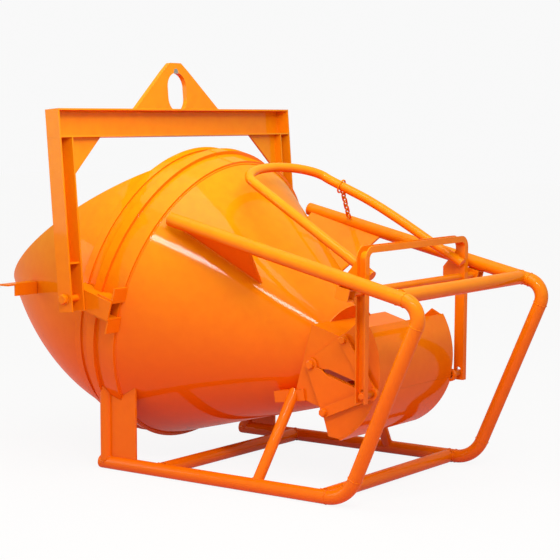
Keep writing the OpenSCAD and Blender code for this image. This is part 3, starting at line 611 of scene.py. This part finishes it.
class BUCKET_OT_frame_welds(bpy.types.Operator):
    """Lays the weld beads of the tube frame"""

    bl_idname = "bucket.frame_welds"
    bl_label = "Weld the tube frame"

    def execute(self, context):
        weld = context.scene.bucket_welds
        painted = bpy.data.materials["sprayed_enamel_on_weld"]
        east, up = Vector((1, 0, 0)), Vector((0, 0, 1))
        butt_leg, ground_gap = weld.leg * BUTT_SHARE, 0.0003
        meet = rail_corner()
        for side, sign in SIDES.items():
            shift = Vector((0, sign * RAIL_Y, 0))
            rail = (shift + Vector((0, 0, TUBE_R)), east, TUBE_R)
            top = (TOP_START + shift, TOP_DIR, TUBE_R)
            butts = [
                (LEG_FOOT - FOOT_CUT * east, east),
                (LEG_FOOT + FOOT_CUT * LEG_DIR, LEG_DIR),
                (meet - ELBOW_CUT * LEG_DIR, LEG_DIR),
                (meet - ELBOW_CUT * TOP_DIR, TOP_DIR),
            ]
            beads = [ring_bead(place + shift, axis, TUBE_R, butt_leg, weld.step) for place, axis in butts]
            inward = Vector((0, -sign, 0))
            for x in CROSS_X:
                place = Vector((x - MIDDLE, sign * RAIL_Y, TUBE_R))
                beads.append(ring_bead(place, inward, TUBE_R, weld.leg, weld.step, rail))
            place = on_top_rail(TOP_BAR_X - MIDDLE) + shift
            beads.append(ring_bead(place, inward, TUBE_R, weld.leg, weld.step, top))
            place = Vector((POST_X - MIDDLE, sign * RAIL_Y, TUBE_R))
            beads.append(ring_bead(place, up, TUBE_R, weld.leg, weld.step, rail))
            foot = Vector((STRUT_X - MIDDLE, sign * RAIL_Y, TUBE_R))
            head = BELT_CENTRE + STRUT_HEAD_S * ALONG + STRUT_HEAD_Q * ACROSS
            head += Vector((0, sign * STRUT_HEAD_Y, 0))
            beads.append(ring_bead(foot, (head - foot).normalized(), STRUT_R, weld.leg, weld.step, rail))
            whole = joined(beads, "frame_welds_" + side)
            # Beads under the bottom rails are ground flush, so that the rails sit flat
            for vertex in whole.data.vertices:
                vertex.co.z = max(vertex.co.z, ground_gap)
            finish_piece(whole, painted, "bucket", WELD_SMOOTH)
        return {"FINISHED"}


class BUCKET_OT_shell_welds(bpy.types.Operator):
    """Lays the weld beads of the belt, the gussets and the lifting lug"""

    bl_idname = "bucket.shell_welds"
    bl_label = "Weld the shells and plates"

    def execute(self, context):
        weld = context.scene.bucket_welds
        painted = bpy.data.materials["sprayed_enamel_on_weld"]
        # How far the ring beads lie off the shells, and the front one off the belt's edge
        proud = 0.001
        hoops = [
            ring_bead(BELT_CENTRE + s * ALONG, ALONG, BELT_R + proud, weld.leg, weld.step)
            for s in (-BELT_BACK, BELT_FRONT + proud)
        ]
        # The belt's own closing seam, just right of its top, over its front band and its rib
        seam_turn, rib_front, rib_r, band_r = -8, 0.044, 0.698, 0.682
        for start, end, radius in ((rib_front, BELT_FRONT, band_r), (0.0, rib_front, rib_r)):
            ends = on_bucket(start, radius, seam_turn), on_bucket(end, radius, seam_turn)
            hoops.append(line_bead(*ends, weld.leg * BUTT_SHARE, weld.step))
        finish_piece(joined(hoops, "belt_welds"), painted, "bucket", WELD_SMOOTH)
        # A bead along each face of a gusset, turned further from its middle where the cone is narrow
        gusset_turn, gusset_face, cone_r, spread = 48.8, 0.006, 0.55, 1.3
        bead_from, bead_to = 0.245, 0.600
        for side, sign in SIDES.items():
            beads = []
            for face in (-gusset_face, gusset_face):
                turn = sign * gusset_turn
                out = math.degrees(face / cone_r)
                start = on_bucket(bead_from, cone_radius(bead_from), turn + out)
                end = on_bucket(bead_to, cone_radius(bead_to), turn + out * spread)
                beads.append(line_bead(start, end, weld.leg, weld.step))
            finish_piece(joined(beads, "gusset_welds_" + side), painted, "bucket", WELD_SMOOTH)
        # Beads at both faces of the lug's foot, each side of its slot, on the beam's top
        yoke_lean, beam_top, lug_face = math.radians(4.5), 0.8255, 0.0125
        slot_side, foot_end = 0.072, 0.300
        swing = Vector(HINGE["yoke_swing"]["pos_m"])
        rise = Vector((-math.sin(yoke_lean), 0, math.cos(yoke_lean)))
        ahead = Vector((math.cos(yoke_lean), 0, math.sin(yoke_lean)))
        beads = []
        for face in (-1, 1):
            for end in (-1, 1):
                level = swing + rise * beam_top + ahead * face * lug_face
                near, far = Vector((0, end * slot_side, 0)), Vector((0, end * foot_end, 0))
                beads.append(line_bead(level + near, level + far, weld.leg, weld.step))
        finish_piece(joined(beads, "lug_welds"), painted, "yoke", WELD_SMOOTH)
        return {"FINISHED"}


class BUCKET_OT_bolts(bpy.types.Operator):
    """Fits the bolts of the yoke, the gate, the links and the knees"""

    bl_idname = "bucket.bolts"
    bl_label = "Fit the bolts"

    def execute(self, context):
        bolts = context.scene.bucket_bolts
        painted = bpy.data.materials["sprayed_enamel_on_flat_plate"]
        yoke, gate, link, knee = bolts.yoke_flats, bolts.gate_flats, bolts.link_flats, bolts.knee_flats
        # Node, body, joint, seat from the middle, flats, head, shank radius and length
        groups = (
            ("yoke_pins", "bucket", "yoke_swing", 0.8462, yoke, 0.015, 0.0150, 0.0878),
            ("gate_pins", "bucket", "upper_jaw_open", 0.3122, gate, 0.008, 0.0140, 0.0219),
            ("upper_link_pins", "upper_jaw", "upper_link_turn", 0.3222, link, 0.009, 0.0100, 0.0222),
            ("lower_link_pins", "lower_jaw", "lower_link_turn", 0.3322, link, 0.009, 0.0100, 0.0222),
            ("knee_pins", "knee", "knee_slide", 0.3953, knee, 0.010, 0.0090, 0.0853),
        )
        # The spacer on each knee bolt
        spacer_y, spacer_r, spacer_l = 0.3303, 0.016, 0.0594
        for node, body, joint, seat, flats, height, shank_r, shank_l in groups:
            place = Vector(HINGE[joint]["pos_m"])
            pair = []
            for sign in SIDES.values():
                foot, out = Vector((place.x, sign * seat, place.z)), Vector((0, sign, 0))
                pair.append(hex_bolt(foot, out, flats, height, shank_r, shank_l))
                if node == "knee_pins":
                    inner = Vector((place.x, sign * spacer_y, place.z))
                    pair.append(spacer(inner, out, spacer_r, spacer_l))
            bolted = finish_piece(joined(pair, node.replace("pins", "bolts")), painted, body, smooth=35)
            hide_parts(node)
        return {"FINISHED"}


class BUCKET_OT_caps(bpy.types.Operator):
    """Closes the rear ends of the bottom rails"""

    bl_idname = "bucket.caps"
    bl_label = "Cap the bottom rails"

    def execute(self, context):
        painted = bpy.data.materials["sprayed_enamel_on_tube"]
        # The cap's radius as a share of the tube's, and its thickness
        cap_share, cap_t = 0.985, 0.006
        # The two steps of its crown: width as a share of the tube's radius, and rise
        crown_steps = ((0.16, 0.0022), (0.3, 0.0012))
        for side, sign in SIDES.items():
            clear_selection()
            bpy.ops.mesh.primitive_cylinder_add(vertices=48, radius=TUBE_R * cap_share, depth=cap_t)
            cap = bpy.context.object
            faces_along(cap, Vector((0, 0, 1)))
            bpy.ops.object.mode_set(mode="EDIT")
            bpy.ops.mesh.select_mode(type="FACE")
            for share, rise in crown_steps:
                bpy.ops.mesh.inset(thickness=TUBE_R * share, depth=rise)
            bpy.ops.object.mode_set(mode="OBJECT")
            cap.name = cap.data.name = "rail_cap_" + side
            back = Vector((RAIL_BACK_X - MIDDLE, sign * RAIL_Y, TUBE_R))
            set_down(cap, Matrix.Translation(back) @ turned_to(Vector((-1, 0, 0))))
            finish_piece(cap, painted, "bucket", smooth=50)
        return {"FINISHED"}


class BUCKET_OT_stage(bpy.types.Operator):
    """Sets the floor, the light and the camera"""

    bl_idname = "bucket.stage"
    bl_label = "Set the stage"

    def execute(self, context):
        stage = context.scene.bucket_stage
        scene = context.scene
        scene.view_settings.view_transform = "Standard"
        clear_selection()
        floor_size, floor_drop = 60, 0.0005
        # The share of white in the floor as it is seen, and the strength of the white seen beyond it
        white_share, far_white = 0.9, 0.945
        camera_place = (4.7408 - MIDDLE, -6.0995, 1.5893)
        bpy.ops.mesh.primitive_plane_add(size=floor_size, location=(0, 0, -floor_drop))
        floor = bpy.context.object
        floor.name = floor.data.name = "studio_floor"
        pale, tree = blank_material("pale_studio_floor")
        reflected = background_rays(tree)
        matte = add(tree, "BsdfDiffuse", Color=linear(stage.floor))
        white = add(tree, "Emission", Color=(1, 1, 1, 1), Strength=1.0)
        share = add(tree, "Math", {"operation": "MULTIPLY"}, _0=reflected, _1=white_share)
        mixed = add(tree, "MixShader", _0=share.outputs[0], _1=matte.outputs[0], _2=white.outputs[0])
        add(tree, "OutputMaterial", Surface=mixed.outputs[0])
        floor.data.materials.append(pale)

        world = bpy.data.worlds.new("even_light")
        scene.world = world
        world.use_nodes = True
        sky = world.node_tree
        sky.nodes.clear()
        shown = background_rays(sky)
        even = add(sky, "Background", Color=linear(stage.world_tint), Strength=stage.world)
        plain = add(sky, "Background", Color=(1, 1, 1, 1), Strength=far_white)
        glow = add(sky, "MixShader", _0=shown, _1=even.outputs[0], _2=plain.outputs[0])
        add(sky, "OutputWorld", Surface=glow.outputs[0])

        # Name, place, aim, size and power of each lamp
        lamps = (
            ("overhead_softbox", (-0.4, -0.6, 5.0), (-0.1, 0.0, 0.7), (3.4, 3.4), stage.overhead),
            ("front_softbox", (1.2 - MIDDLE, -1.0, 3.2), (-0.35, -0.1, 1.4), (1.6, 1.6), stage.front),
            ("side_softbox", (-3.5, -3.0, 1.8), (-0.6, -0.3, 1.0), (2.0, 2.0), stage.side),
            # The strip draws the long streak on the cone
            ("key_strip", (2.16 - MIDDLE, -2.2, 2.72), (0.3 - MIDDLE, -0.4, 0.9), (2.0, 0.2), stage.key),
        )
        for name, place, aim, size, power in lamps:
            clear_selection()
            bpy.ops.object.light_add(type="AREA", location=place)
            lamp = bpy.context.object
            lamp.name = lamp.data.name = name
            lamp.data.shape = "RECTANGLE"
            lamp.data.size, lamp.data.size_y = size
            lamp.data.energy = power
            lamp.rotation_euler = (Vector(place) - Vector(aim)).to_track_quat("Z", "Y").to_euler()

        clear_selection()
        turn, tilt = math.radians(stage.azimuth), math.radians(stage.elevation)
        bpy.ops.object.camera_add(location=camera_place, rotation=(math.pi / 2 - tilt, 0, turn))
        camera = bpy.context.object
        camera.data.lens = stage.lens
        camera.data.sensor_width = 36
        camera.data.clip_end = 200
        scene.camera = camera
        return {"FINISHED"}


class BUCKET_PT_panel(bpy.types.Panel):
    """Lists the steps that dress the bucket"""

    bl_idname = "BUCKET_PT_panel"
    bl_label = "Concrete bucket"
    bl_space_type = "VIEW_3D"
    bl_region_type = "UI"
    bl_category = "Bucket"

    def draw(self, context):
        scene = context.scene
        for group in (scene.bucket_paint, scene.bucket_welds, scene.bucket_bolts, scene.bucket_stage):
            box = self.layout.box()
            for key in group.bl_rna.properties.keys():
                if key not in ("rna_type", "name"):
                    box.prop(group, key)
        for step in STEPS:
            self.layout.operator(step.bl_idname)


GROUPS = (BucketPaint, BucketWelds, BucketBolts, BucketStage)
STEPS = (
    BUCKET_OT_paint,
    BUCKET_OT_rear_shell,
    BUCKET_OT_hoop,
    BUCKET_OT_frame_welds,
    BUCKET_OT_shell_welds,
    BUCKET_OT_bolts,
    BUCKET_OT_caps,
    BUCKET_OT_stage,
)


def register():
    for cls in (*GROUPS, *STEPS, BUCKET_PT_panel):
        bpy.utils.register_class(cls)
    bpy.types.Scene.bucket_paint = PointerProperty(type=BucketPaint)
    bpy.types.Scene.bucket_welds = PointerProperty(type=BucketWelds)
    bpy.types.Scene.bucket_bolts = PointerProperty(type=BucketBolts)
    bpy.types.Scene.bucket_stage = PointerProperty(type=BucketStage)


def unregister():
    for key in ("bucket_stage", "bucket_bolts", "bucket_welds", "bucket_paint"):
        delattr(bpy.types.Scene, key)
    for cls in reversed((*GROUPS, *STEPS, BUCKET_PT_panel)):
        bpy.utils.unregister_class(cls)


def main():
    register()
    bpy.ops.bucket.paint()
    bpy.ops.bucket.rear_shell()
    bpy.ops.bucket.hoop()
    bpy.ops.bucket.frame_welds()
    bpy.ops.bucket.shell_welds()
    bpy.ops.bucket.bolts()
    bpy.ops.bucket.caps()
    bpy.ops.bucket.stage()
    clear_selection()


if __name__ == "__main__":
    main()
